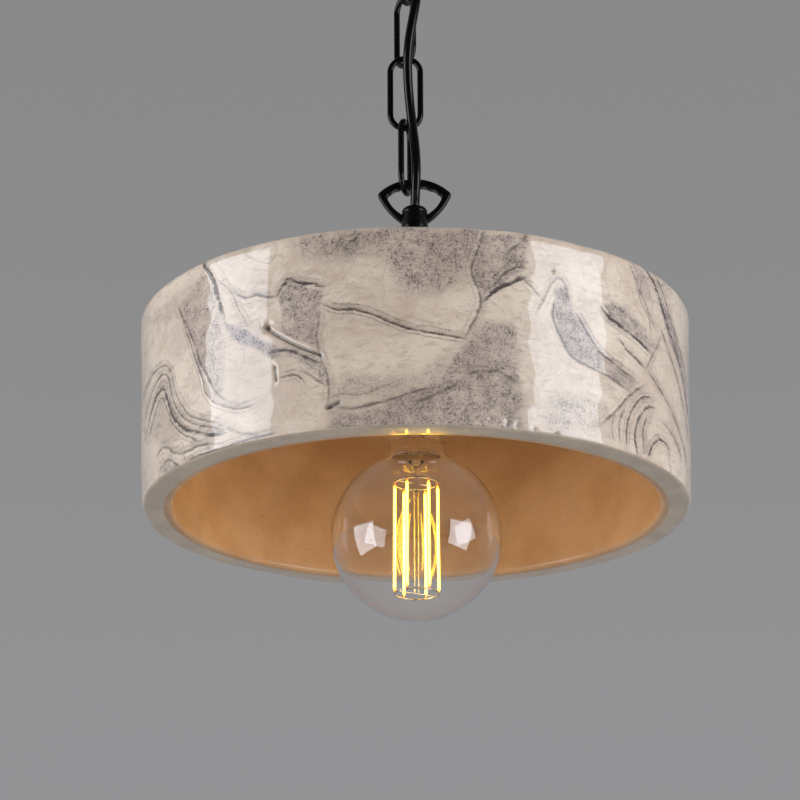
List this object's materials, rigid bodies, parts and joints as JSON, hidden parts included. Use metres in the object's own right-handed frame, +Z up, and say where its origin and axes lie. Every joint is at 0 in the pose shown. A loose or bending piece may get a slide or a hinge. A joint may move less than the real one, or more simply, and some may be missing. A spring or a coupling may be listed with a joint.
{
  "type": "pendant light",
  "caption": "Pendant light: a thick marbled ceramic drum shade on a black chain and cord, with a clear globe filament bulb in a screw lampholder.",
  "frame": {"origin": "on the ceiling plane, midway between the crossbar's two slots, over the lamp's axis", "axes": "+Z up, against the ceiling; the lamp hangs to -Z; -Y faces the room; the loops' flat faces look along Y"},
  "size_m": [0.3088, 0.3088, 0.466],
  "materials": {
    "glazed_clay": "gloss glaze over marbled clay",
    "black_iron": "semi-gloss black enamel",
    "zinc_steel": "zinc plated",
    "brass": "plain",
    "rubber": "matte",
    "cord_black": "smooth black sheath",
    "core_insulation": "coloured insulation",
    "white_plastic": "matte",
    "black_plastic": "moulded",
    "white_ceramic": "unglazed",
    "clear_glass": "clear",
    "nickel": "bright",
    "aluminium": "rolled thread",
    "filament": "yellow coating, lit",
    "board": "matte"
  },
  "bodies": {
    "ceiling": {"ceiling_crossbar": "zinc_steel", "ceiling_tube": "zinc_steel", "tube_lock_washer": "zinc_steel", "tube_lock_nut": "zinc_steel", "canopy_cup": "black_iron", "canopy_washer": "black_iron", "upper_loop": "black_iron", "upper_grub_screw": "zinc_steel", "earth_screw": "brass", "earth_ring_tag": "brass", "terminal_block": "white_plastic", "terminal_sleeves": "brass", "terminal_screws": "zinc_steel", "terminal_fixing_screw": "zinc_steel", "cord_grip": "white_plastic", "ceiling_cord_tail": "cord_black", "ceiling_cores": "core_insulation", "cord": "cord_black"},
    "link_4": {"chain_link_4": "black_iron"},
    "link_3": {"chain_link_3": "black_iron"},
    "link_2": {"chain_link_2": "black_iron"},
    "link_1": {"chain_link_1": "black_iron"},
    "lamp": {"lower_loop": "black_iron", "lower_grub_screw": "zinc_steel", "spacer_sleeve": "black_iron", "lamp_tube": "zinc_steel", "lamp_cord_tail": "cord_black", "top_washer": "black_iron", "top_rubber_washer": "rubber", "ceramic_shade": "glazed_clay", "bottom_rubber_washer": "rubber", "bottom_washer": "zinc_steel", "lamp_nut": "zinc_steel", "holder_cap": "black_plastic", "holder_skirt": "black_plastic", "holder_insert": "white_ceramic", "thread_shell": "nickel", "centre_contact": "brass", "holder_screws": "brass", "holder_cores": "core_insulation"},
    "bulb": {"bulb_globe": "clear_glass", "bulb_screw_cap": "aluminium", "bulb_cap_insulator": "black_plastic", "bulb_tip_contact": "nickel", "bulb_stem": "clear_glass", "bulb_upper_ring": "nickel", "bulb_lower_ring": "nickel", "bulb_centre_wires": "nickel", "bulb_filaments": "filament", "bulb_driver": "board", "bulb_lead_wires": "nickel"}
  },
  "joints": [
    {"name": "loop_to_link_4", "type": "hinge", "parent": "ceiling", "child": "link_4", "pos_m": [-0.005, 0, -0.05084], "axis": [0.4226, 0.9063, 0], "range_deg": [-20, 20], "deforming": ["cord"]},
    {"name": "link_4_to_link_3", "type": "hinge", "parent": "link_4", "child": "link_3", "pos_m": [-0.005, 0, -0.09434], "axis": [0.4226, 0.9063, 0], "range_deg": [-20, 20], "deforming": ["cord"]},
    {"name": "link_3_to_link_2", "type": "hinge", "parent": "link_3", "child": "link_2", "pos_m": [-0.005, 0, -0.13404], "axis": [0.5446, -0.8387, 0], "range_deg": [-20, 20], "deforming": ["cord"]},
    {"name": "link_2_to_link_1", "type": "hinge", "parent": "link_2", "child": "link_1", "pos_m": [-0.005, 0, -0.17374], "axis": [1, 0, 0], "range_deg": [-20, 20], "deforming": ["cord"]},
    {"name": "link_1_to_lamp", "type": "hinge", "parent": "link_1", "child": "lamp", "pos_m": [-0.005, 0, -0.21344], "axis": [0.2924, 0.9563, 0], "range_deg": [-20, 20], "deforming": ["cord"]},
    {"name": "bulb_out", "type": "slide", "parent": "lamp", "child": "bulb", "axis": [0, 0, -1], "range_m": [0, 0.13]}
  ]
}
